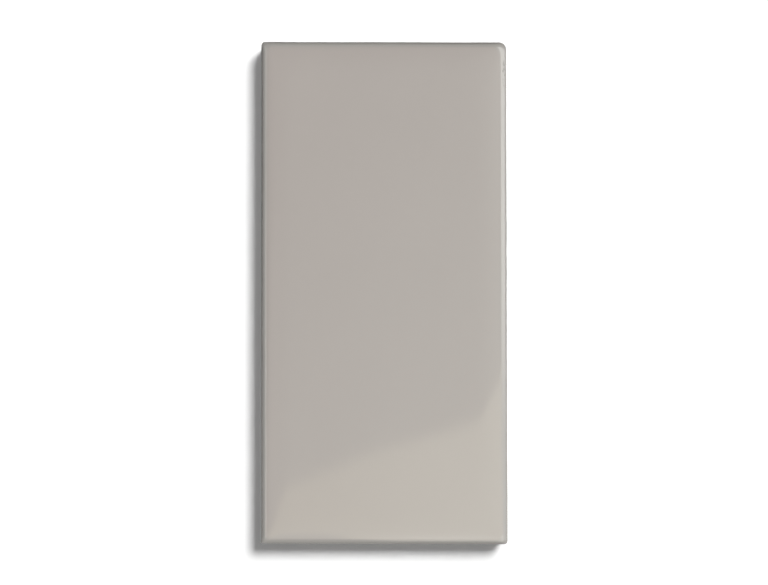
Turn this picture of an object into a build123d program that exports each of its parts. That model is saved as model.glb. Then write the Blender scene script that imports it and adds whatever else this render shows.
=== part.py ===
"""A pressed, glazed ceramic wall tile, in millimetres.

It lies on its back: +Z is the glazed face, +Y its head and +X its right-hand edge, with the origin under the
middle of the back. The tile is one pressed and fired piece, so it is one solid: a block with sides that narrow
towards the back, a cushioned face lofted over it, and a keyed back cut out of it.
"""

from build123d import *

import math
import os

# Overall sizes, at the widest line round the sides and from the back to the flat of the face
WIDTH = 65.0
LENGTH = 132.0
THICKNESS = 8.5

# Corners in plan. A fired tile's corners are never quite alike, and this one's right-hand ones are rounder.
HEAD_LEFT_RADIUS = 1.0
HEAD_RIGHT_RADIUS = 2.0
FOOT_RIGHT_RADIUS = 1.0
FOOT_LEFT_RADIUS = 0.7
CORNER_SPREAD = 0.6  # growth of each radius for every millimetre that a contour lies inside the outline

# Cushioned face: a tight roll over the edge, then a band that eases into the flat
ROLL_RADIUS = 1.8
EASE_WIDTH = 5.7
EASE_DROP = 0.2
ROLL_STEPS = 6
EASE_STEPS = 2

# Sides
SIDE_TAPER = 0.25  # how far the back edge lies inside the widest line
BACK_ARRIS = 0.3  # the small bevel round the back

# Keyed back, which the adhesive grips: a plain rim round a sunk field of raised pads
RIM_WIDTH = 4.0
KEY_DEPTH = 0.9
GROOVE_WIDTH = 2.6
PAD_PITCH = 11.0  # about this far apart, evenly shared out over the field
PAD_CORNER_RADIUS = 0.8
FIELD_CORNER_RADIUS = 2.5
KEY_DRAFT = 20.0  # degrees, so that the pads leave the press

EASE_ANGLE = math.atan(2 * EASE_DROP / EASE_WIDTH)
ROLL_END = math.pi / 2 - EASE_ANGLE
ROLL_WIDTH = ROLL_RADIUS * (1 - math.cos(ROLL_END))
SHOULDER_Z = THICKNESS - EASE_DROP - ROLL_RADIUS * math.sin(ROLL_END)
BACK_INSET = SIDE_TAPER + BACK_ARRIS


def outline(inset, height, spread=CORNER_SPREAD):
    """The tile's contour as a face, so far inside its widest outline, at a height above the back."""
    half_width = WIDTH / 2 - inset
    half_length = LENGTH / 2 - inset
    corners = (
        (-half_width, half_length, HEAD_LEFT_RADIUS),
        (half_width, half_length, HEAD_RIGHT_RADIUS),
        (half_width, -half_length, FOOT_RIGHT_RADIUS),
        (-half_width, -half_length, FOOT_LEFT_RADIUS),
    )
    with BuildSketch(Plane.XY.offset(height)) as contour:
        Rectangle(2 * half_width, 2 * half_length)
        for x, y, radius in corners:
            corner = contour.vertices().sort_by_distance((x, y, 0))[0]
            fillet(corner, radius + spread * inset)
    return contour.sketch.face()


def roll():
    """The arc that rolls over the edge, tangent to the side, lofted through a contour for each step."""
    contours = []
    for step in range(ROLL_STEPS + 1):
        turn = ROLL_END * step / ROLL_STEPS
        inset = ROLL_RADIUS * (1 - math.cos(turn))
        contours.append(outline(inset, SHOULDER_Z + ROLL_RADIUS * math.sin(turn)))
    return loft(contours)


def ease():
    """The band from the top of the roll to the flat, along a parabola that ends level with it."""
    contours = []
    for step in range(EASE_STEPS + 1):
        share = step / EASE_STEPS
        inset = ROLL_WIDTH + EASE_WIDTH * share
        contours.append(outline(inset, THICKNESS - EASE_DROP * (1 - share) ** 2))
    return loft(contours)


def drawn_down(contour, depth, inset):
    """A contour pushed down by a depth, its sides closing in by an inset on the way."""
    return extrude(contour, amount=depth, dir=(0, 0, -1), taper=math.degrees(math.atan(inset / depth)))


def tapered_block():
    """The body below the widest line: sides that narrow towards the back, then the bevel round the back."""
    sides = drawn_down(outline(0, SHOULDER_Z), SHOULDER_Z - BACK_ARRIS, SIDE_TAPER)
    arris = drawn_down(outline(SIDE_TAPER, BACK_ARRIS, spread=-1), BACK_ARRIS, BACK_ARRIS)
    return sides + arris


def odd_count(span):
    """How many pads share a span, an odd number so that one lies at its middle."""
    return 2 * round((span - GROOVE_WIDTH - PAD_PITCH) / (2 * PAD_PITCH)) + 1


def drafted_block(width, length, radius, draft):
    """A block as high as the key is deep, widening by the draft away from the back's plane."""
    spread = KEY_DEPTH * math.tan(math.radians(draft))
    with BuildSketch() as foot:
        RectangleRounded(width, length, radius)
    with BuildSketch(Plane.XY.offset(KEY_DEPTH)) as head:
        RectangleRounded(width + 2 * spread, length + 2 * spread, radius + spread)
    return loft([foot.sketch.face(), head.sketch.face()])


def back_key():
    """What the press leaves out of the back: a sunk field, less the pads that stand in it."""
    field = [span - 2 * (BACK_INSET + RIM_WIDTH) for span in (WIDTH, LENGTH)]
    count = [odd_count(span) for span in field]
    pitch = [(span - GROOVE_WIDTH) / n for span, n in zip(field, count)]
    sunk = drafted_block(*field, FIELD_CORNER_RADIUS, -KEY_DRAFT)
    pad = drafted_block(pitch[0] - GROOVE_WIDTH, pitch[1] - GROOVE_WIDTH, PAD_CORNER_RADIUS, KEY_DRAFT)
    return sunk - [place * pad for place in GridLocations(*pitch, *count)]


tile = tapered_block() + roll() + ease() - back_key()
tile.label = "wall_tile"

os.makedirs("parts", exist_ok=True)
export_step(tile, "parts/wall_tile.step")
print("volume", round(tile.volume), "box", tile.bounding_box().size, "solids", len(tile.solids()))
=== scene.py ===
# %% [markdown]
# # A glazed ceramic wall tile
# The object is one pressed and fired tile, lying on its back, with its glossy warm-grey face to the
# camera. The CAD model holds its real size and its plain form. This lesson makes the form as the
# kiln leaves it, with a face that is never quite flat and a glaze that stops in a wandering line,
# and then its finish, floor and light.

# %% Load the frame and take the sizes from it
import math

import bmesh
import bpy
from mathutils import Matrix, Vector


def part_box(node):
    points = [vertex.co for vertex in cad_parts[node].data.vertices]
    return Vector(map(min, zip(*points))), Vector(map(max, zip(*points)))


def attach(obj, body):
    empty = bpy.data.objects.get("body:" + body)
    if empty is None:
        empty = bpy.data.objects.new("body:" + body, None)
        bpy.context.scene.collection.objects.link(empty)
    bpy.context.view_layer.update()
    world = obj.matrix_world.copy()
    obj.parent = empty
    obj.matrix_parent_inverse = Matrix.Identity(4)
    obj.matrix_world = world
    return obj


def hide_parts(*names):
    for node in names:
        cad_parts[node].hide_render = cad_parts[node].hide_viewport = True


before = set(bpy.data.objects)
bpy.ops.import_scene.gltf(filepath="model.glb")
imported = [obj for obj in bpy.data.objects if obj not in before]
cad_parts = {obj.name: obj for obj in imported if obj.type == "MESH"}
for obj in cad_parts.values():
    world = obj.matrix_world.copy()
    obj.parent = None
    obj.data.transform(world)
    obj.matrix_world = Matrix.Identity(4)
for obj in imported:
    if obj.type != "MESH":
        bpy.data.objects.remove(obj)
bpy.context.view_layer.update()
MM = 0.001
low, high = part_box("wall_tile")
WIDTH, LENGTH, THICKNESS = (high[axis] - low[axis] for axis in range(3))
print("tile", [round(size / MM, 2) for size in (WIDTH, LENGTH, THICKNESS)], "mm")

# %% [markdown]
# ## The camera
# The photograph looks straight down on the tile, with the head of the tile at the top. A camera
# with no turn at all does that. The tile's foot is 247 pixels wide, and half a pixel more before
# the kiln has shrunk it. That gives the size of a pixel at the height where the tile is widest, and
# with it the camera's distance. A long lens keeps the sides of the tile out of sight.

# %% Hang the camera over the tile
TILE_PIXELS = 247.55
TILE_MIDDLE = (384.2, 293.1)
FRAME_PIXELS = (768.0, 585.0)
FOCAL_LENGTH = 85.0
SENSOR_WIDTH = 36.0
WIDEST_HEIGHT = 6.6 * MM
NEAREST_SEEN = 0.01

pixel = WIDTH / TILE_PIXELS
camera_reach = pixel * FRAME_PIXELS[0] * FOCAL_LENGTH / SENSOR_WIDTH
camera_x = (FRAME_PIXELS[0] / 2 - TILE_MIDDLE[0]) * pixel
camera_y = (TILE_MIDDLE[1] - FRAME_PIXELS[1] / 2) * pixel
camera = bpy.data.objects.new("camera", bpy.data.cameras.new("camera"))
camera.data.lens = FOCAL_LENGTH
camera.data.sensor_width = SENSOR_WIDTH
camera.data.clip_start = NEAREST_SEEN
camera.location = (camera_x, camera_y, WIDEST_HEIGHT + camera_reach)
bpy.context.scene.collection.objects.link(camera)
bpy.context.scene.camera = camera
print("camera", round(camera_reach, 3), "m over the tile's widest line")
print("pixel", round(pixel / MM, 4), "mm")

# %% [markdown]
# ## Contours
# Every level of the tile, from the sunk back to the flat of the face, is a rectangle with rounded
# corners. A box with a Bevel modifier could stand for it, but a bevel has one radius, and here each
# corner has its own, which grows as the contour moves in over the face. So the mesh is made as a
# stack of rings. Each ring has the same number of points and starts at the middle of the same
# corner, so that neighbours join in clean quads.

# %% A ring of points round a rounded rectangle
# Foot left, foot right, head right, head left
CORNER_RADII = [0.55 * MM, 1.0 * MM, 1.95 * MM, 1.0 * MM]
CORNER_SIDES = [(-1, -1), (1, -1), (1, 1), (-1, 1)]


def contour(half_width, half_length, radii, height, arc_steps, side_steps):
    """Points anticlockwise from the middle of the foot-left corner, in steps along arcs and sides."""
    arcs = []
    for number, (side_x, side_y) in enumerate(CORNER_SIDES):
        radius = radii[number]
        centre_x = side_x * (half_width - radius)
        centre_y = side_y * (half_length - radius)
        arc = []
        for step in range(arc_steps + 1):
            turn = math.pi + math.pi / 2 * (number + step / arc_steps)
            arc.append((centre_x + radius * math.cos(turn), centre_y + radius * math.sin(turn)))
        arcs.append(arc)
    points = []
    for number, arc in enumerate(arcs):
        points += arc
        steps = side_steps[number % 2]
        (x0, y0), (x1, y1) = arc[-1], arcs[(number + 1) % 4][0]
        shares = [step / steps for step in range(1, steps)]
        points += [(x0 + (x1 - x0) * share, y0 + (y1 - y0) * share) for share in shares]
    middle = arc_steps // 2
    return [(x, y, height) for x, y in points[middle:] + points[:middle]]


test_ring = contour(MM, MM, [0.2 * MM] * 4, 0, 4, (6, 6))
print("ring of a 2 mm square:", len(test_ring), "points")

# %% [markdown]
# ## Sheets
# Rings next to each other are joined into a band. A closed ring is filled with a grid whose inner
# points are blended from its four sides, which is called a Coons patch. A fan of triangles round a
# middle point would be shorter to write, but a glossy face shows every long thin triangle.

# %% A band between rings
def band(rings):
    """Vertices and quads that join each ring to the next."""
    count = len(rings[0])
    faces = []
    for number in range(len(rings) - 1):
        first, second = number * count, (number + 1) * count
        for here in range(count):
            there = (here + 1) % count
            faces.append((first + here, first + there, second + there, second + here))
    return [point for ring in rings for point in ring], faces


print("band of three squares:", len(band([[(0, 0, 0)] * 4] * 3)[1]), "quads")

# %% A grid inside a ring
def patch(ring, steps_x, steps_y):
    """Vertices and quads of a grid that fills a ring. It faces the side where the ring is anticlockwise."""
    foot = ring[: steps_x + 1]
    right = ring[steps_x : steps_x + steps_y + 1]
    head = ring[steps_x + steps_y : 2 * steps_x + steps_y + 1][::-1]
    left = (ring[2 * steps_x + steps_y :] + ring[:1])[::-1]
    points = []
    for j in range(steps_y + 1):
        v = j / steps_y
        for i in range(steps_x + 1):
            u = i / steps_x
            along_y = [(1 - v) * a + v * b for a, b in zip(foot[i], head[i])]
            along_x = [(1 - u) * a + u * b for a, b in zip(left[j], right[j])]
            foot_edge = [(1 - u) * a + u * b for a, b in zip(foot[0], foot[-1])]
            head_edge = [(1 - u) * a + u * b for a, b in zip(head[0], head[-1])]
            corners = [(1 - v) * a + v * b for a, b in zip(foot_edge, head_edge)]
            points.append(tuple(a + b - c for a, b, c in zip(along_y, along_x, corners)))
    row = steps_x + 1
    starts = [j * row + i for j in range(steps_y) for i in range(steps_x)]
    return points, [(start, start + 1, start + row + 1, start + row) for start in starts]


print("grid inside the 2 mm square:", len(patch(test_ring, 10, 10)[1]), "quads")

# %% Sheets joined, and a profile with soft corners
CURVE_SHARES = (0, 1 / 3, 2 / 3, 1)
# A curve takes at most one part in so many of the run beside it
RUNS_TO_A_CURVE = 2.5


def join(sheets):
    """Several lots of vertices and quads as one."""
    points, faces = [], []
    for sheet_points, sheet_faces in sheets:
        offset = len(points)
        points += sheet_points
        faces += [tuple(offset + corner for corner in face) for face in sheet_faces]
    return points, faces


def softened(profile, softness):
    """A profile with each inner corner replaced by a short curve that starts so far before it."""
    soft = [profile[0]]
    for before, corner, after in zip(profile, profile[1:], profile[2:]):
        ends = []
        for other in (before, after):
            run = math.dist(corner, other)
            reach = min(softness, run / RUNS_TO_A_CURVE) / run
            ends.append([c + (o - c) * reach for c, o in zip(corner, other)])
        for share in CURVE_SHARES:
            weights = ((1 - share) ** 2, 2 * share * (1 - share), share**2)
            point = []
            for values in zip(ends[0], corner, ends[1]):
                point.append(sum(weight * value for weight, value in zip(weights, values)))
            soft.append(tuple(point))
    return soft + [profile[-1]]


print("a softened corner:", len(softened([(0, 0), (1, 0), (1, 1)], 0.1)), "points")

# %% [markdown]
# ## The pressed form
# The section of the tile's edge is one line: out of the sunk back, over the rim, round a small
# bevel, up a side that leans out a little, over a tight roll, and up a very shallow curve to the
# flat. It is written as pairs of how far a point lies inside the widest outline and how high it is.
# The measures are the CAD model's own. They are written out again, because the frame holds its
# solids and not its numbers. The cards of light are mirrored in the roll as the thin bright line
# along the tile's edge, so the roll gets many steps.

# %% Measures of the edge
ROLL_RADIUS = 1.8 * MM
EASE_WIDTH = 5.7 * MM
EASE_DROP = 0.2 * MM
SIDE_TAPER = 0.25 * MM
BACK_ARRIS = 0.3 * MM
RIM_WIDTH = 4.0 * MM
KEY_DEPTH = 0.9 * MM
KEY_DRAFT = 20.0

key_spread = KEY_DEPTH * math.tan(math.radians(KEY_DRAFT))
back_inset = SIDE_TAPER + BACK_ARRIS
field_inset = back_inset + RIM_WIDTH
roll_end = math.pi / 2 - math.atan(2 * EASE_DROP / EASE_WIDTH)
roll_width = ROLL_RADIUS * (1 - math.cos(roll_end))
shoulder = THICKNESS - EASE_DROP - ROLL_RADIUS * math.sin(roll_end)
print("roll", round(roll_width / MM, 2), "mm wide, shoulder at", round(shoulder / MM, 2), "mm")

# %% Out of the sunk back and up the side
EDGE_SOFTNESS = 0.12 * MM
SIDE_RINGS = 6

back_section = softened(
    [
        (field_inset + key_spread + 2 * EDGE_SOFTNESS, KEY_DEPTH),
        (field_inset + key_spread, KEY_DEPTH),
        (field_inset, 0),
        (back_inset, 0),
        (SIDE_TAPER, BACK_ARRIS),
        (0, shoulder),
    ],
    EDGE_SOFTNESS,
)
back_section.pop()
side_foot_inset, side_foot_height = back_section[-1]
for step in range(1, SIDE_RINGS):
    share = step / SIDE_RINGS
    height = side_foot_height + (shoulder - side_foot_height) * share
    back_section.append((side_foot_inset * (1 - share), height))
print("back and side in", len(back_section), "rings")

# %% Over the roll and up to the flat
ROLL_STEPS = 16
EASE_STEPS = 10

face_section = []
for step in range(ROLL_STEPS + 1):
    turn = roll_end * step / ROLL_STEPS
    inset = ROLL_RADIUS * (1 - math.cos(turn))
    face_section.append((inset, shoulder + ROLL_RADIUS * math.sin(turn)))
for step in range(1, EASE_STEPS + 1):
    share = step / EASE_STEPS
    inset = roll_width + EASE_WIDTH * share
    face_section.append((inset, THICKNESS - EASE_DROP * (1 - share) ** 2))
print("roll and ease in", len(face_section), "rings")

# %% [markdown]
# ## The tile's skin
# The section is carried round the tile. Over the face each corner radius grows with the inset, as
# in the CAD model. Below the shoulder it shrinks by the inset, which keeps the bevel even, and
# under the rim it goes over into the radius of the sunk field. The field's edge is a plain
# rectangle divided evenly, so that the pads can be sewn to it.

# %% Pads and steps along the sides
GROOVE_WIDTH = 2.6 * MM
PAD_COUNT = (5, 11)
PAD_STEPS = 10
ARC_STEPS = 14

grid_steps = [count * PAD_STEPS for count in PAD_COUNT]
straight_steps = [steps - ARC_STEPS for steps in grid_steps]
field_size = [span - 2 * field_inset for span in (WIDTH, LENGTH)]
pad_pitch = [(span - GROOVE_WIDTH) / count for span, count in zip(field_size, PAD_COUNT)]
print("pads", PAD_COUNT, "pitch", [round(pitch / MM, 2) for pitch in pad_pitch], "mm")

# %% Contours at each level
CORNER_SPREAD = 0.6
FIELD_RADIUS = 2.5 * MM
SMALLEST_RADIUS = 0.15 * MM


def back_radius(radius, inset):
    """The corner radius on the back and the sides."""
    if inset <= back_inset:
        return max(radius - inset, SMALLEST_RADIUS)
    share = min((inset - back_inset) / RIM_WIDTH, 1)
    beyond = max(inset - field_inset, 0)
    rim_radius = max(radius - back_inset, SMALLEST_RADIUS)
    return rim_radius * (1 - share) + FIELD_RADIUS * share - beyond


def face_radius(radius, inset):
    """The corner radius over the face."""
    return radius + CORNER_SPREAD * inset


def level(inset, height, corner_radius):
    """The tile's contour at one point of the section."""
    half_width = WIDTH / 2 - inset
    half_length = LENGTH / 2 - inset
    radii = [corner_radius(radius, inset) for radius in CORNER_RADII]
    return contour(half_width, half_length, radii, height, ARC_STEPS, straight_steps)


def even_rectangle(size_x, size_y, steps_x, steps_y):
    """A plain rectangle at the bottom of the groove, divided evenly."""
    half_x, half_y = size_x / 2, size_y / 2
    corners = [(side_x * half_x, side_y * half_y) for side_x, side_y in CORNER_SIDES]
    points = []
    for number, (x0, y0) in enumerate(corners):
        x1, y1 = corners[(number + 1) % 4]
        steps = (steps_x, steps_y)[number % 2]
        shares = [step / steps for step in range(steps)]
        points += [(x0 + (x1 - x0) * share, y0 + (y1 - y0) * share, KEY_DEPTH) for share in shares]
    return points


print("widest contour:", len(level(0, shoulder, face_radius)), "points")

# %% Rings from the sunk field to the flat of the face
pads_size = [pitch * count for pitch, count in zip(pad_pitch, PAD_COUNT)]
rings = [even_rectangle(*pads_size, *grid_steps)]
rings += [level(inset, height, back_radius) for inset, height in back_section]
rings += [level(inset, height, face_radius) for inset, height in face_section]
skin_points, skin_faces = join([band(rings), patch(rings[-1], *grid_steps)])
skin_mesh = bpy.data.meshes.new("tile")
skin_mesh.from_pydata(skin_points, [], skin_faces)
tile = bpy.data.objects.new("tile", skin_mesh)
bpy.context.scene.collection.objects.link(tile)
print("skin", len(skin_points), "points,", len(skin_faces), "quads")

# %% [markdown]
# ## One pad of the keyed back
# The back of a pressed tile is keyed so that the adhesive grips it: rows of low pads with grooves
# between. One pad is made here, with half a groove round it, and it has the same even rim as the
# field's edge. Its walls slope, because the press has to let go of it, and its edges are soft.

# %% A pad with half a groove round it
PAD_RADIUS = 0.8 * MM
PAD_ARC_STEPS = 4

pad_straight = (PAD_STEPS - PAD_ARC_STEPS,) * 2
pad_half = [(pitch - GROOVE_WIDTH) / 2 for pitch in pad_pitch]
pad_section = softened(
    [
        (-3 * EDGE_SOFTNESS, 0),
        (0, 0),
        (key_spread, KEY_DEPTH),
        (key_spread + 3 * EDGE_SOFTNESS, KEY_DEPTH),
    ],
    EDGE_SOFTNESS,
)


def pad_level(spread, height):
    """The pad's contour where it stands out so far beyond the edge of its top."""
    half_x, half_y = (half + spread for half in pad_half)
    radii = [PAD_RADIUS + spread] * 4
    return contour(half_x, half_y, radii, height, PAD_ARC_STEPS, pad_straight)


pad_rings = [pad_level(spread, height) for spread, height in pad_section]
pad_rings.append(even_rectangle(*pad_pitch, PAD_STEPS, PAD_STEPS))
top_points, top_faces = patch(pad_rings[0], PAD_STEPS, PAD_STEPS)
top_faces = [face[::-1] for face in top_faces]
pad_points, pad_faces = join([band(pad_rings), (top_points, top_faces)])
pad_mesh = bpy.data.meshes.new("pad")
pad_mesh.from_pydata(pad_points, [], pad_faces)
pad = bpy.data.objects.new("pad", pad_mesh)
print("pad", len(pad_faces), "quads")

# %% [markdown]
# ## Small helpers for node trees
# Both the Geometry Nodes tree and the materials below are built in the script, node by node. Short
# helpers keep them readable. One adds a node and fills its sockets, two write sums, one turns a
# value into a soft mask, and two mix colours.

# %% Add a node, do a sum, make a mask
def add_node(tree, kind, inputs=None, **settings):
    """A new node with its settings made and its inputs set or, where they are sockets, linked."""
    made = tree.nodes.new(kind)
    for name, value in settings.items():
        setattr(made, name, value)
    for name, value in (inputs or {}).items():
        if isinstance(value, bpy.types.NodeSocket):
            tree.links.new(value, made.inputs[name])
        else:
            made.inputs[name].default_value = value
    return made


def calculate(tree, operation, *values):
    """The output of a Math node."""
    return add_node(tree, "ShaderNodeMath", dict(enumerate(values)), operation=operation).outputs[0]


def calculate_vector(tree, operation, *values):
    """The outputs of a Vector Math node."""
    return add_node(tree, "ShaderNodeVectorMath", dict(enumerate(values)), operation=operation).outputs


def mask(tree, value, start, end, low_value=0.0, high_value=1.0):
    """A smooth step from one value to another while the input goes from start to end."""
    sockets = {
        "Value": value,
        "From Min": start,
        "From Max": end,
        "To Min": low_value,
        "To Max": high_value,
    }
    step = add_node(tree, "ShaderNodeMapRange", sockets, interpolation_type="SMOOTHSTEP")
    return step.outputs["Result"]


print("node helpers ready")

# %% Mix colours
WHITE = (1.0, 1.0, 1.0, 1.0)
BLACK = (0.0, 0.0, 0.0, 1.0)


def mixed(tree, factor, first, second):
    """Two colours, or colour outputs, mixed."""
    sockets = {"Factor": factor, 6: first, 7: second}
    return add_node(tree, "ShaderNodeMix", sockets, data_type="RGBA", clamp_factor=True).outputs[2]


def tinted(tree, colour, factor):
    """A colour made lighter or darker by a factor that varies round 1."""
    sockets = {"Factor": 1.0, 6: colour, 7: factor}
    made = add_node(tree, "ShaderNodeMix", sockets, data_type="RGBA", blend_type="MULTIPLY")
    return made.outputs[2]


print("colour helpers ready")

# %% [markdown]
# ## What the kiln does
# A tile comes out of the press true and out of the kiln a little less so. Its face dips and swells
# by a few hundredths of a millimetre and its outline wanders. This one has also shrunk by a tenth
# or two, is half a millimetre narrower at its head, leans over there by a tenth, and is a trace out
# of square. The eye reads that in the edges and in the reflections. A displacement in the material
# would be lost outside the render, so Geometry Nodes move the points themselves. The same tree
# repeats the pad over the back, sews it to the skin and sets the material.

# %% The tree and what it is given
KILN_INPUTS = {
    "Pad": "NodeSocketObject",
    "Pads Across": "NodeSocketInt",
    "Pads Along": "NodeSocketInt",
    "Pitch Across": "NodeSocketFloat",
    "Pitch Along": "NodeSocketFloat",
    "Wave Height": "NodeSocketFloat",
    "Wave Length": "NodeSocketFloat",
    "Edge Wander": "NodeSocketFloat",
    "Wander Length": "NodeSocketFloat",
    "Width Loss": "NodeSocketFloat",
    "Length Loss": "NodeSocketFloat",
    "Head Narrowing": "NodeSocketFloat",
    "Head Shift": "NodeSocketFloat",
    "Skew": "NodeSocketFloat",
    "Seed": "NodeSocketFloat",
    "Material": "NodeSocketMaterial",
}

kiln = bpy.data.node_groups.new("kiln", "GeometryNodeTree")
kiln.interface.new_socket("Geometry", in_out="INPUT", socket_type="NodeSocketGeometry")
kiln.interface.new_socket("Geometry", in_out="OUTPUT", socket_type="NodeSocketGeometry")
for name, kind in KILN_INPUTS.items():
    kiln.interface.new_socket(name, in_out="INPUT", socket_type=kind)
given = kiln.nodes.new("NodeGroupInput").outputs
print("kiln tree with", len(KILN_INPUTS), "inputs")

# %% Where a point is, how it faces, and noise over the plan
NOISE_LOW = 0.2
NOISE_HIGH = 0.8

position = add_node(kiln, "GeometryNodeInputPosition").outputs[0]
facing = add_node(kiln, "GeometryNodeInputNormal").outputs[0]
spot = add_node(kiln, "ShaderNodeSeparateXYZ", {0: position}).outputs
normal = add_node(kiln, "ShaderNodeSeparateXYZ", {0: facing}).outputs
flat_spot = add_node(kiln, "ShaderNodeCombineXYZ", {"X": spot["X"], "Y": spot["Y"]}).outputs[0]


def kiln_noise(length, detail):
    """Noise over the plan of the tile, from 0 to 1, whose swells are about so long."""
    scale = calculate(kiln, "DIVIDE", 1.0, given[length])
    sockets = {"Vector": flat_spot, "W": given["Seed"], "Scale": scale, "Detail": detail}
    made = add_node(kiln, "ShaderNodeTexNoise", sockets, noise_dimensions="4D", normalize=True)
    return mask(kiln, made.outputs[0], NOISE_LOW, NOISE_HIGH)


print("kiln tree", len(kiln.nodes), "nodes so far")

# %% The pads laid out on a grid and sewn to the skin
SEAM_REACH = 0.002 * MM

one_pad = add_node(kiln, "GeometryNodeObjectInfo", {"Object": given["Pad"]}).outputs["Geometry"]
spans = {}
for way in ("Across", "Along"):
    gaps = calculate(kiln, "SUBTRACT", given[f"Pads {way}"], 1.0)
    spans[way] = calculate(kiln, "MULTIPLY", gaps, given[f"Pitch {way}"])
grid_sockets = {
    "Size X": spans["Across"],
    "Size Y": spans["Along"],
    "Vertices X": given["Pads Across"],
    "Vertices Y": given["Pads Along"],
}
grid = add_node(kiln, "GeometryNodeMeshGrid", grid_sockets).outputs["Mesh"]
laid_out = {"Points": grid, "Instance": one_pad}
repeated = add_node(kiln, "GeometryNodeInstanceOnPoints", laid_out).outputs[0]
pads = add_node(kiln, "GeometryNodeRealizeInstances", {"Geometry": repeated}).outputs[0]
joined = add_node(kiln, "GeometryNodeJoinGeometry")
kiln.links.new(pads, joined.inputs[0])
kiln.links.new(given["Geometry"], joined.inputs[0])
seam = {"Geometry": joined.outputs[0], "Distance": SEAM_REACH}
sewn = add_node(kiln, "GeometryNodeMergeByDistance", seam).outputs[0]
print("pads sewn on within", SEAM_REACH / MM, "mm")

# %% Dips in the face, and an outline that wanders
DIPS_FROM = 0.6 * THICKNESS
DIPS_TO = 0.98 * THICKNESS
WAVE_DETAIL = 1.0
WANDER_DETAIL = 2.0

near_face = mask(kiln, spot["Z"], DIPS_FROM, DIPS_TO)
waves = kiln_noise("Wave Length", WAVE_DETAIL)
wave = calculate(kiln, "MULTIPLY", waves, given["Wave Height"])
dip = calculate(kiln, "MULTIPLY", wave, near_face)
wander = kiln_noise("Wander Length", WANDER_DETAIL)
draw_in = calculate(kiln, "MULTIPLY", wander, given["Edge Wander"])
print("dips from", round(DIPS_FROM / MM, 1), "mm up")

# %% Shrinkage, a narrower head, a lean and a skew
up_the_tile = calculate(kiln, "ADD", calculate(kiln, "DIVIDE", spot["Y"], LENGTH), 0.5)
width_loss = calculate(kiln, "MULTIPLY_ADD", given["Head Narrowing"], up_the_tile, given["Width Loss"])
narrowing = calculate(kiln, "DIVIDE", width_loss, WIDTH)
inwards = calculate(kiln, "MULTIPLY", normal["X"], draw_in)
inwards = calculate(kiln, "MULTIPLY_ADD", up_the_tile, given["Head Shift"], inwards)
shift_x = calculate(kiln, "MULTIPLY_ADD", spot["X"], narrowing, inwards)
shortening = calculate(kiln, "DIVIDE", given["Length Loss"], LENGTH)
shorter = calculate(kiln, "MULTIPLY", spot["Y"], shortening)
shorter = calculate(kiln, "MULTIPLY_ADD", normal["Y"], draw_in, shorter)
shift_y = calculate(kiln, "MULTIPLY_ADD", spot["X"], given["Skew"], shorter)
shift = add_node(kiln, "ShaderNodeCombineXYZ", {"X": shift_x, "Y": shift_y, "Z": dip}).outputs[0]
offset = calculate_vector(kiln, "MULTIPLY", shift, (-1.0, -1.0, -1.0))[0]
warped = add_node(kiln, "GeometryNodeSetPosition", {"Geometry": sewn, "Offset": offset}).outputs[0]
print("warp in", len(kiln.nodes), "nodes")

# %% Smooth, with its material
smoothing = {"Geometry": warped, "Shade Smooth": True}
smooth = add_node(kiln, "GeometryNodeSetShadeSmooth", smoothing).outputs[0]
finishing = {"Geometry": smooth, "Material": given["Material"]}
finished = add_node(kiln, "GeometryNodeSetMaterial", finishing).outputs[0]
add_node(kiln, "NodeGroupOutput", {"Geometry": finished})
print("kiln tree", len(kiln.nodes), "nodes")

# %% [markdown]
# ## The finish
# One material stands for the whole fired piece, as one firing does for the real one, and masks in
# object space say what lies where. Under everything is the fired clay: matte, grainy, with a few
# dark specks. Over the face, the roll and the top of the sides lies the glaze, a warm grey glass
# that is a little cooler over the roll. It thins out as it runs down the side and stops there in a
# ragged line. The thin glaze is darker than clay and glaze: partly the glaze's own thin edge, partly
# painted shade, a dark line along the foot of the roll. Near the head, on the right-hand roll, a few
# pits are left in it. The pads and the rim of the back carry some white kiln wash. An image of a
# real tile could be laid over the mesh instead, but nodes have no seams and no pixels, and they
# follow every edit of the form.

# %% The material, with noise and sums in object space
ware = bpy.data.materials.new("glazed_ware")
ware.use_nodes = True
tree = ware.node_tree
tree.nodes.clear()
place = add_node(tree, "ShaderNodeTexCoord").outputs["Object"]
height = add_node(tree, "ShaderNodeSeparateXYZ", {0: place}).outputs["Z"]


def noise(length, detail=2.0, roughness=0.5):
    """Noise from 0 to 1 in object space, whose features are about so long."""
    sockets = {"Vector": place, "Scale": 1.0 / length, "Detail": detail, "Roughness": roughness}
    made = add_node(tree, "ShaderNodeTexNoise", sockets, noise_dimensions="3D", normalize=True)
    return made.outputs[0]


def between(factor, first, second):
    """Two numbers, or number outputs, mixed."""
    sockets = {"Factor": factor, 2: first, 3: second}
    return add_node(tree, "ShaderNodeMix", sockets, data_type="FLOAT", clamp_factor=True).outputs[0]


def varied(value, amount):
    """A factor about 1 that changes by so much while a value goes from 0 to 1."""
    return calculate(tree, "MULTIPLY_ADD", value, amount, 1 - amount / 2)


print("glazed_ware", len(tree.nodes), "nodes so far")

# %% How far down the glaze runs
GLAZE_LINE = 4.9 * MM
GLAZE_LINE_WANDER = 1.6 * MM
RAGGED_LENGTH = 5 * MM
GLAZE_END = (-0.03 * MM, 0.05 * MM)
THICK_FROM = 5.9 * MM
THICK_TO = 6.9 * MM
THICK_WANDER = 0.8 * MM

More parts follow.
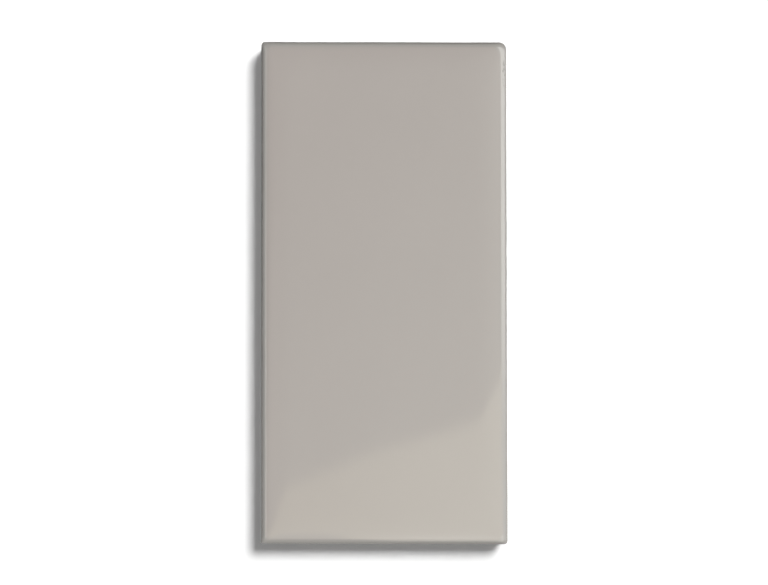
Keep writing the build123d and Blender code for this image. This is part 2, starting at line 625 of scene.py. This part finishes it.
ragged = calculate(tree, "SUBTRACT", noise(RAGGED_LENGTH, detail=3.0, roughness=0.6), 0.5)
line = calculate(tree, "MULTIPLY_ADD", ragged, GLAZE_LINE_WANDER, GLAZE_LINE)
over_line = calculate(tree, "SUBTRACT", height, line)
glazed = mask(tree, over_line, *GLAZE_END)
uneven_height = calculate(tree, "MULTIPLY_ADD", ragged, THICK_WANDER, height)
# The thin part of this mask is the thin glaze on the side and also painted shade, a dark line at the foot
# of the roll
thick_glaze_not_rim_shade = mask(tree, uneven_height, THICK_FROM, THICK_TO)
print("glaze line", round(GLAZE_LINE / MM, 1), "mm up the side")

# %% The colour of the glaze
GLAZE_COLOUR = (0.401, 0.360, 0.333, 1.0)
ROLL_GLAZE_COLOUR = (0.37, 0.353, 0.328, 1.0)
# Thin glaze colour, darker than clay and glaze: partly thin glaze on the side, partly painted shade along
# the foot of the roll
THIN_GLAZE_AND_RIM_SHADE_COLOUR = (0.19, 0.185, 0.17, 1.0)
ROLL_FROM = 8.15 * MM
ROLL_TO = 8.32 * MM
MOTTLE_LENGTH = 22 * MM
MOTTLE_AMOUNT = 0.04
CLOUD_LENGTH = 3 * MM
CLOUD_AMOUNT = 0.02

mottle = varied(noise(MOTTLE_LENGTH), MOTTLE_AMOUNT)
cloud = varied(noise(CLOUD_LENGTH, detail=4.0, roughness=0.65), CLOUD_AMOUNT)
glaze_tint = calculate(tree, "MULTIPLY", mottle, cloud)
on_the_face = mask(tree, height, ROLL_FROM, ROLL_TO)
thick_colour = mixed(tree, on_the_face, ROLL_GLAZE_COLOUR, GLAZE_COLOUR)
glaze_and_rim_shade_colour = tinted(tree, mixed(tree, thick_glaze_not_rim_shade, THIN_GLAZE_AND_RIM_SHADE_COLOUR, thick_colour), glaze_tint)
print("glaze in", len(tree.nodes), "nodes")

# %% The clay and its specks
CLAY_COLOUR = (0.30, 0.27, 0.235, 1.0)
SPECK_COLOUR = (0.09, 0.07, 0.055, 1.0)
GRAIN_LENGTH = 0.35 * MM
GRAIN_AMOUNT = 0.35
SPECK_LENGTH = 0.9 * MM
SPECK_RARITY = (0.70, 0.76)

grain = noise(GRAIN_LENGTH, detail=4.0, roughness=0.7)
bare_clay = tinted(tree, CLAY_COLOUR, varied(grain, GRAIN_AMOUNT))
speckle = mask(tree, noise(SPECK_LENGTH, detail=1.0), *SPECK_RARITY)
clay_colour = mixed(tree, speckle, bare_clay, SPECK_COLOUR)
print("clay in", len(tree.nodes), "nodes")

# %% Kiln wash on the rim and the pads
WASH_COLOUR = (0.62, 0.60, 0.56, 1.0)
WASH_LENGTH = 2.5 * MM
WASH_RARITY = (0.42, 0.62)
WASH_HEIGHT = (0.12 * MM, 0.02 * MM)
WASH_COVER = 0.75

wash_noise = noise(WASH_LENGTH, detail=4.0, roughness=0.7)
wash_patches = mask(tree, wash_noise, *WASH_RARITY)
on_the_bed = mask(tree, height, *WASH_HEIGHT)
wash = calculate(tree, "MULTIPLY", on_the_bed, wash_patches)
wash_share = calculate(tree, "MULTIPLY", wash, WASH_COVER)
clay_colour = mixed(tree, wash_share, clay_colour, WASH_COLOUR)
print("wash up to", round(WASH_HEIGHT[0] / MM, 2), "mm")

# %% Pits in the glaze
PIT_PLACE = (31.3 * MM, 57.6 * MM, 7.9 * MM)
PIT_REACH = (0.42 * MM, 4.0 * MM, 0.8 * MM)
PIT_FADE = (1.0, 0.6)
PIT_LENGTH = 0.7 * MM
PIT_RARITY = (0.52, 0.62)
PIT_DARKNESS = 0.5

from_pits = calculate_vector(tree, "SUBTRACT", place, PIT_PLACE)[0]
in_reaches = calculate_vector(tree, "DIVIDE", from_pits, PIT_REACH)[0]
pit_distance = calculate_vector(tree, "LENGTH", in_reaches)["Value"]
pit_zone = mask(tree, pit_distance, *PIT_FADE)
pits_anywhere = mask(tree, noise(PIT_LENGTH, detail=0.0), *PIT_RARITY)
pits = calculate(tree, "MULTIPLY", pits_anywhere, pit_zone)
pit_share = calculate(tree, "MULTIPLY", pits, PIT_DARKNESS)
glaze_and_rim_shade_colour = mixed(tree, pit_share, glaze_and_rim_shade_colour, THIN_GLAZE_AND_RIM_SHADE_COLOUR)
print("pits about", [round(value / MM, 1) for value in PIT_PLACE], "mm")

# %% Roughness
GLAZE_ROUGHNESS = 0.07
THIN_GLAZE_ROUGHNESS = 0.4
CLAY_ROUGHNESS = 0.85
CLOUD_TO_ROUGHNESS = 0.3

clear_roughness = GLAZE_ROUGHNESS - CLOUD_TO_ROUGHNESS
smooth_roughness = calculate(tree, "MULTIPLY_ADD", cloud, CLOUD_TO_ROUGHNESS, clear_roughness)
glaze_roughness = between(thick_glaze_not_rim_shade, THIN_GLAZE_ROUGHNESS, smooth_roughness)
roughness = between(glazed, CLAY_ROUGHNESS, glaze_roughness)
print("roughness from", GLAZE_ROUGHNESS, "to", CLAY_ROUGHNESS)

# %% Relief
GLAZE_THICKNESS = 0.12 * MM
GLAZE_STEP = (-0.05 * MM, 0.35 * MM)
CLAY_GRAIN = 0.03 * MM
GRAIN_UNDER_THIN_GLAZE = 0.25
PIT_DEPTH = 0.1 * MM

coat = mask(tree, over_line, *GLAZE_STEP)
coat_height = calculate(tree, "MULTIPLY", coat, GLAZE_THICKNESS)
grain_share = between(glazed, 1.0, between(thick_glaze_not_rim_shade, GRAIN_UNDER_THIN_GLAZE, 0.0))
seen_grain = calculate(tree, "MULTIPLY", grain, grain_share)
grain_height = calculate(tree, "MULTIPLY", seen_grain, CLAY_GRAIN)
rough_height = calculate(tree, "ADD", coat_height, grain_height)
surface_height = calculate(tree, "MULTIPLY_ADD", pits, -PIT_DEPTH, rough_height)
bump_sockets = {"Height": surface_height, "Distance": 1.0, "Strength": 1.0}
relief = add_node(tree, "ShaderNodeBump", bump_sockets).outputs[0]
print("relief up to", round(GLAZE_THICKNESS / MM, 2), "mm")

# %% The shader
GLAZE_IOR = 1.5

shader_sockets = {
    "Base Color": mixed(tree, glazed, clay_colour, glaze_and_rim_shade_colour),
    "Roughness": roughness,
    "Normal": relief,
    "IOR": GLAZE_IOR,
}
shader = add_node(tree, "ShaderNodeBsdfPrincipled", shader_sockets).outputs[0]
add_node(tree, "ShaderNodeOutputMaterial", {"Surface": shader})
print("glazed_ware", len(tree.nodes), "nodes")

# %% [markdown]
# ## Fire it
# The modifier's inputs are set by the sockets' identifiers before the tile is first evaluated. Its
# result is then kept as a plain mesh and the modifier is taken off, so that the frame meets a
# finished piece.

# %% Run the tree and keep its mesh
KILN_VALUES = {
    "Pad": pad,
    "Pads Across": PAD_COUNT[0],
    "Pads Along": PAD_COUNT[1],
    "Pitch Across": pad_pitch[0],
    "Pitch Along": pad_pitch[1],
    "Wave Height": 0.07 * MM,
    "Wave Length": 45 * MM,
    "Edge Wander": 0.06 * MM,
    "Wander Length": 12 * MM,
    "Width Loss": 0.11 * MM,
    "Length Loss": 0.2 * MM,
    "Head Narrowing": 0.57 * MM,
    "Head Shift": 0.1 * MM,
    "Skew": 0.0028,
    "Seed": 3.0,
    "Material": ware,
}

fire = tile.modifiers.new("fire", "NODES")
fire.node_group = kiln
for item in kiln.interface.items_tree:
    if item.in_out == "INPUT" and item.name in KILN_VALUES:
        fire[item.identifier] = KILN_VALUES[item.name]
evaluated = tile.evaluated_get(bpy.context.evaluated_depsgraph_get())
fired = bpy.data.meshes.new_from_object(evaluated)
tile.modifiers.remove(fire)
tile.data = fired
fired.name = "tile"
bpy.data.objects.remove(pad)
print("fired", fired.name, "with", len(fired.vertices), "points")

# %% Check that the skin is closed
check = bmesh.new()
check.from_mesh(fired)
open_edges = sum(not edge.is_manifold for edge in check.edges)
volume = check.calc_volume(signed=True)
check.free()
triangles = sum(len(face.vertices) - 2 for face in fired.polygons)
print("fired tile", triangles, "triangles,", open_edges, "open edges")
print("volume", round(volume / MM**3), "cubic mm")

# %% Put it in the frame
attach(tile, "root")
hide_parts("wall_tile")
print(tile.name, "rides on the root and replaces the CAD tile")

# %% [markdown]
# ## Floor and sky
# The ground in the photograph is pure white apart from the tile's soft shadow, which is an even
# middle grey. So the floor is white to the camera and in reflections, with a little light of its
# own that keeps the shadow even, and it is a middle grey to the light that bounces, which keeps the
# tile's sides from being lit from below. The sky does the same: white where it is seen, a little
# less in the glaze, and a thin fill where it lights. In the glaze it also glows overhead, more
# towards the lower right, and that is the slow change of tone over the face.

# %% A floor that is white where it is seen
FLOOR_LIFT = 0.135
BOUNCE_COLOUR = (0.45, 0.45, 0.45, 1.0)


def seen_directly(tree):
    """1 for rays from the camera, in reflections and through glass, 0 for light that bounces."""
    path = add_node(tree, "ShaderNodeLightPath").outputs
    reflected = calculate(tree, "MAXIMUM", path["Is Glossy Ray"], path["Is Transmission Ray"])
    return calculate(tree, "MAXIMUM", path["Is Camera Ray"], reflected)


ground = bpy.data.materials.new("ground")
ground.use_nodes = True
tree = ground.node_tree
tree.nodes.clear()
seen = seen_directly(tree)
ground_colour = mixed(tree, seen, BOUNCE_COLOUR, WHITE)
paper = add_node(tree, "ShaderNodeBsdfDiffuse", {"Color": ground_colour}).outputs[0]
lift_strength = calculate(tree, "MULTIPLY", seen, FLOOR_LIFT)
lift = add_node(tree, "ShaderNodeEmission", {"Strength": lift_strength}).outputs[0]
both = add_node(tree, "ShaderNodeAddShader", {0: paper, 1: lift}).outputs[0]
add_node(tree, "ShaderNodeOutputMaterial", {"Surface": both})
print("ground", len(tree.nodes), "nodes")

# %% The floor's sheet
FLOOR_HALF = 6.0


def flat_object(name, corners, material):
    """A flat sheet with one material, in the scene but not part of the tile."""
    mesh = bpy.data.meshes.new(name)
    mesh.from_pydata(corners, [], [tuple(range(len(corners)))])
    mesh.materials.append(material)
    made = bpy.data.objects.new(name, mesh)
    bpy.context.scene.collection.objects.link(made)
    return made


floor_corners = [(x * FLOOR_HALF, y * FLOOR_HALF, 0) for x, y in CORNER_SIDES]
floor = flat_object("floor", floor_corners, ground)
print("floor", 2 * FLOOR_HALF, "m across")

# %% A sky that is white where it is seen
SKY_FILL = 0.096
MIRRORED_WHITE = 0.8
GLOW = 1.85
GLOW_COLOUR = (0.97, 1.1, 1.0, 1.0)
GLOW_TOWARDS = (0.81, -0.58, 0.0)
GLOW_FROM = -0.30
GLOW_TO = 0.20
GLOW_CONE = (0.86, 0.95)

world = bpy.data.worlds.new("studio")
world.use_nodes = True
bpy.context.scene.world = world
tree = world.node_tree
tree.nodes.clear()
direction = add_node(tree, "ShaderNodeTexCoord").outputs["Generated"]
upwards = add_node(tree, "ShaderNodeSeparateXYZ", {0: direction}).outputs["Z"]
leaning = calculate_vector(tree, "DOT_PRODUCT", direction, GLOW_TOWARDS)["Value"]
glow = mask(tree, leaning, GLOW_FROM, GLOW_TO, 0.0, GLOW)
overhead = mask(tree, upwards, *GLOW_CONE)
glow_strength = calculate(tree, "MULTIPLY", glow, overhead)
from_camera = add_node(tree, "ShaderNodeLightPath").outputs["Is Camera Ray"]
whiteness = calculate(tree, "MAXIMUM", from_camera, MIRRORED_WHITE)
backgrounds = []
for colour, strength in ((WHITE, SKY_FILL), (WHITE, whiteness), (GLOW_COLOUR, glow_strength)):
    sockets = {"Color": colour, "Strength": strength}
    backgrounds.append(add_node(tree, "ShaderNodeBackground", sockets).outputs[0])
fill, white, glowing = backgrounds
bright = add_node(tree, "ShaderNodeAddShader", {0: white, 1: glowing}).outputs[0]
sky_sockets = {"Fac": seen_directly(tree), 1: fill, 2: bright}
sky = add_node(tree, "ShaderNodeMixShader", sky_sockets).outputs[0]
add_node(tree, "ShaderNodeOutputWorld", {"Surface": sky})
print("sky", len(tree.nodes), "nodes")

# %% [markdown]
# ## Two suns
# In the photograph the shadow falls down and to the left by about half the tile's thickness, but
# the tile itself is dark along its left edge, bright along its right edge and alike at head and
# foot, so its light comes straight from the right. One sun can't do both. Light linking gives the
# floor one sun for the shadow and the tile another for its own form.

# %% A sun for the floor and a sun for the tile
KEY_SHARE = 0.88
FLOOR_SUN = (3.99, 4.74, 8.0)
FLOOR_SUN_ANGLE = 23.0
TILE_SUN = (0.45, -0.05, 1.0)
TILE_SUN_ANGLE = 20.0


def sun(name, place, angle, lit):
    """A wide sun in one direction that lights one object, and gives a level surface the key's share."""
    towards = Vector(place).normalized()
    lamp = bpy.data.objects.new(name, bpy.data.lights.new(name, "SUN"))
    lamp.data.energy = KEY_SHARE * math.pi / towards.z
    lamp.data.angle = math.radians(angle)
    lamp.rotation_euler = towards.to_track_quat("Z", "Y").to_euler()
    lamp.visible_glossy = False
    bpy.context.scene.collection.objects.link(lamp)
    receivers = bpy.data.collections.new("lit_by_" + name)
    receivers.objects.link(lit)
    lamp.light_linking.receiver_collection = receivers


sun("floor_sun", FLOOR_SUN, FLOOR_SUN_ANGLE, floor)
sun("tile_sun", TILE_SUN, TILE_SUN_ANGLE, tile)
print("suns", len(bpy.data.lights))

# %% [markdown]
# ## Cards of light
# A glossy thing shows what stands round it, so photographers draw its form with cards, white ones
# that it mirrors as light and black ones that it mirrors as dark. More lamps could make the same
# lines, but they would also light the floor and the clay. These cards show in reflections only.
# Each one adds light to what the mirrored ray meets behind it, or takes some of that away. Either
# can fade along an axis, because the soft end of a reflection comes from the soft end of a card. A
# fade is written as the axis, the two places between which it happens, and the share at each.

# %% How a card is made
def graded(tree, grade):
    """One share, or shares that go smoothly from one value to another along an axis."""
    if isinstance(grade, float):
        return grade
    axis, start, end, low_share, high_share = grade
    where = add_node(tree, "ShaderNodeTexCoord").outputs["Object"]
    along = add_node(tree, "ShaderNodeSeparateXYZ", {0: where}).outputs[axis]
    return mask(tree, along, start, end, low_share, high_share)


def card(name, corners, light, fade=1.0, clear=1.0):
    """A card that shows in reflections only, adds light to them and lets a share through."""
    material = bpy.data.materials.new(name)
    material.use_nodes = True
    tree = material.node_tree
    tree.nodes.clear()
    shine_sockets = {"Color": (*light, 1.0), "Strength": graded(tree, fade)}
    shine = add_node(tree, "ShaderNodeEmission", shine_sockets).outputs[0]
    tint = mixed(tree, graded(tree, clear), BLACK, WHITE)
    through = add_node(tree, "ShaderNodeBsdfTransparent", {"Color": tint}).outputs[0]
    both = add_node(tree, "ShaderNodeAddShader", {0: shine, 1: through}).outputs[0]
    add_node(tree, "ShaderNodeOutputMaterial", {"Surface": both})
    made = flat_object(name, corners, material)
    made.visible_camera = False
    made.visible_diffuse = False
    made.visible_transmission = False
    made.visible_shadow = False
    print(name, "of", len(corners), "corners, light", light)


def level_shape(points, height):
    """The corners of a level sheet with any outline."""
    return [(x, y, height) for x, y in points]


def level_corners(low_x, low_y, high_x, high_y, height):
    """The corners of a level rectangle."""
    return level_shape([(low_x, low_y), (high_x, low_y), (high_x, high_y), (low_x, high_y)], height)


# %% [markdown]
# ## The bright patch on the face
# The patch across the lower third is one warm card over the tile's foot. The flat face is a plane
# mirror, so a pixel of the photograph can be carried to the point over the face that it shows. The
# two ends of the patch's slanting edge are placed that way, and its lower left is cut off where the
# face bends down to the roll. It fades out at the left, and lets a little less through there.

# %% The card over the foot
PATCH_HEIGHT = 0.3
PATCH_CORNERS = [(205.0, 510.0), (640.0, 366.2)]
PATCH_REST = [(0.36, -0.6), (0.016, -0.6), (-0.019, -0.140), (-0.10, -0.131)]
PATCH_LIGHT = (1.56, 1.45, 1.08)
PATCH_FADE = ("X", -0.088, -0.055, 0.0, 1.0)
PATCH_CLEAR = ("X", -0.06, 0.06, 0.75, 1.0)


def mirrored_place(x, y, card_height):
    """The point at a height over the face that the flat face mirrors at a pixel of the photograph."""
    face_reach = camera_reach - (THICKNESS - WIDEST_HEIGHT)
    scale = pixel * face_reach / camera_reach * (1 + card_height / face_reach)
    across = camera_x + (x - FRAME_PIXELS[0] / 2) * scale
    along = camera_y + (FRAME_PIXELS[1] / 2 - y) * scale
    return (across, along, THICKNESS + card_height)


patch_corners = [mirrored_place(*corner, PATCH_HEIGHT) for corner in PATCH_CORNERS]
patch_corners += level_shape(PATCH_REST, THICKNESS + PATCH_HEIGHT)
card("patch_card", patch_corners, PATCH_LIGHT, fade=PATCH_FADE, clear=PATCH_CLEAR)

# %% [markdown]
# ## The right-hand roll
# The roll is a mirror that turns through a right angle within two millimetres, so it packs
# everything from overhead down to the floor into seven pixels. One card leans in from the right and
# makes the bright line along that roll, half as bright towards the foot. A second one lies on the
# same plane and widens the line there, and a third lights the head corner. The leaning cards are
# shorter at their foot, or the flat face would mirror them in a low view.

# %% Leaning cards at the right
EDGE_FOOT = (0.97, 0.0)
EDGE_TOP = (0.36, 0.92)
EDGE_FOOT_REACH = 0.35
EDGE_REACH = 0.8
EDGE_LIGHT = (5.0, 4.95, 4.8)
EDGE_FADE = ("Y", -0.11, 0.03, 0.5, 1.0)
LOW_EDGE_HEAD = -0.17
LOW_EDGE_LIGHT = (1.6, 1.6, 1.55)
LOW_EDGE_FADE = ("Y", -0.17, -0.23, 0.0, 1.0)


def leaning_corners(low_y, high_y):
    """The corners of a card that leans in over the tile from the right and is shorter at its foot."""
    foot_ys = (max(low_y, -EDGE_FOOT_REACH), min(high_y, EDGE_FOOT_REACH))
    foot = [(EDGE_FOOT[0], y, EDGE_FOOT[1]) for y in foot_ys]
    top = [(EDGE_TOP[0], y, EDGE_TOP[1]) for y in (high_y, low_y)]
    return foot + top


edge_corners = leaning_corners(-EDGE_REACH, EDGE_REACH)
low_edge_corners = leaning_corners(-EDGE_REACH, LOW_EDGE_HEAD)
card("edge_card", edge_corners, EDGE_LIGHT, fade=EDGE_FADE)
card("low_edge_card", low_edge_corners, LOW_EDGE_LIGHT, fade=LOW_EDGE_FADE)

# %% A card for the head corner
CORNER_PLACE = level_corners(low_x=0.124, low_y=0.11, high_x=0.3, high_y=0.3, height=0.5)
CORNER_LIGHT = (0.8, 0.8, 0.8)
CORNER_FADE = ("Y", 0.11, 0.14, 0.0, 1.0)

card("corner_card", CORNER_PLACE, CORNER_LIGHT, fade=CORNER_FADE)

# %% [markdown]
# ## The left-hand roll
# At the left the photograph shows a fainter line, which comes closer to the face towards the foot,
# and a dark one outside it. A bent strip high up at the left is that line, and two weak cards
# further out keep what lies outside it from going black. Just inside the line the face is a touch
# darker near the head. A sheet that lets less through is mirrored there, and a faint strip beside
# it evens out the rest of the ease.

# %% The line, and two cards outside it
LINE_HEIGHT = 0.5
LINE_OUTER = [(-0.40, 0.3), (-0.40, 0.0), (-0.35, -0.1), (-0.35, -0.3)]
LINE_INNER = [(-0.18, -0.3), (-0.18, -0.1), (-0.23, 0.0), (-0.24, 0.3)]
LINE_LIGHT = (3.6, 3.55, 3.4)
LINE_FADE = ("Y", 0.1, -0.08, 0.75, 1.0)
BESIDE_PLACE = level_corners(low_x=-0.65, low_y=-0.3, high_x=-0.40, high_y=0.3, height=LINE_HEIGHT)
BESIDE_LIGHT = (0.9, 0.95, 0.95)
SIDE_CORNERS = [(-1.0, -0.3, 0.17), (-1.0, 0.3, 0.17), (-1.0, 0.3, 0.53), (-1.0, -0.3, 0.53)]
SIDE_LIGHT = (0.7, 0.7, 0.7)

line_corners = level_shape(LINE_OUTER + LINE_INNER, LINE_HEIGHT)
card("line_card", line_corners, LINE_LIGHT, fade=LINE_FADE)
card("beside_line", BESIDE_PLACE, BESIDE_LIGHT)
card("side_card", SIDE_CORNERS, SIDE_LIGHT)

# %% The shade inside the line, and the strip beside it
SHADE_SHAPE = [(-0.14, -0.06), (-0.10, -0.06), (-0.07, 0.05), (-0.07, 0.3), (-0.14, 0.3)]
SHADE_LIGHT = (0.0, 0.0, 0.0)
SHADE_CLEAR = ("X", -0.10, -0.082, 0.6, 1.0)
EASE_PLACE = level_corners(low_x=-0.088, low_y=-0.2, high_x=-0.05, high_y=0.12, height=PATCH_HEIGHT)
EASE_LIGHT = (0.45, 0.43, 0.41)
EASE_FADE = ("X", -0.05, -0.078, 0.0, 1.0)

card("shade", level_shape(SHADE_SHAPE, PATCH_HEIGHT), SHADE_LIGHT, clear=SHADE_CLEAR)
card("ease_card", EASE_PLACE, EASE_LIGHT, fade=EASE_FADE)

# %% [markdown]
# ## The foot, and dark paper round the tile
# A weak card beyond the foot lights the roll there. The outermost part of every roll mirrors the
# floor beside the tile, which is white, and yet the photograph shows a dark line at the head, the
# left and the foot. So strips of dark paper lie on the floor there. What the rolls at head and foot
# mirror just above the floor is kept dark by two fences that stand close to the tile, because far
# ones would have to be tall and would show in the face in a low view.

# %% A card for the foot
FOOT_PLACE = level_corners(low_x=-0.04, low_y=-0.9, high_x=0.3, high_y=-0.17, height=0.42)
FOOT_LIGHT = (1.1, 1.1, 1.1)
FOOT_FADE = ("X", -0.04, 0.03, 0.0, 1.0)

card("foot_card", FOOT_PLACE, FOOT_LIGHT, fade=FOOT_FADE)

# %% Dark strips on the floor
GREY_PAPER = (0.35, 0.35, 0.35)
DARK_PAPER = (0.1, 0.1, 0.1)
LEFT_FLAG_FADE = ("Y", 0.03, -0.066, 1.0, 2.2)
FLAG_WIDTH = 0.08
FLAG_HEIGHT = 0.2 * MM

side = WIDTH / 2
end = LENGTH / 2
left_flag = level_corners(-side - FLAG_WIDTH, -end, -side, end + FLAG_WIDTH, FLAG_HEIGHT)
head_flag = level_corners(-side, end, side + FLAG_WIDTH / 2, end + FLAG_WIDTH, FLAG_HEIGHT)
foot_flag = level_corners(-side, -end - FLAG_WIDTH, side, -end, FLAG_HEIGHT)
card("left_flag", left_flag, GREY_PAPER, fade=LEFT_FLAG_FADE, clear=0.0)
card("head_flag", head_flag, DARK_PAPER, clear=0.0)
card("foot_flag", foot_flag, GREY_PAPER, clear=0.0)

# %% Two low fences
FENCE_GAP = 5 * MM
FENCE_FOOT = 7.4 * MM
FENCE_TOP = 9.4 * MM

for name, place_y in (("head_fence", end + FENCE_GAP), ("foot_fence", -end - FENCE_GAP)):
    near, far = (-side, place_y), (side + FENCE_GAP / 2, place_y)
    fence = [(*near, FENCE_FOOT), (*far, FENCE_FOOT), (*far, FENCE_TOP), (*near, FENCE_TOP)]
    card(name, fence, DARK_PAPER, clear=0.0)

# %% View settings
bpy.context.scene.view_settings.view_transform = "Standard"
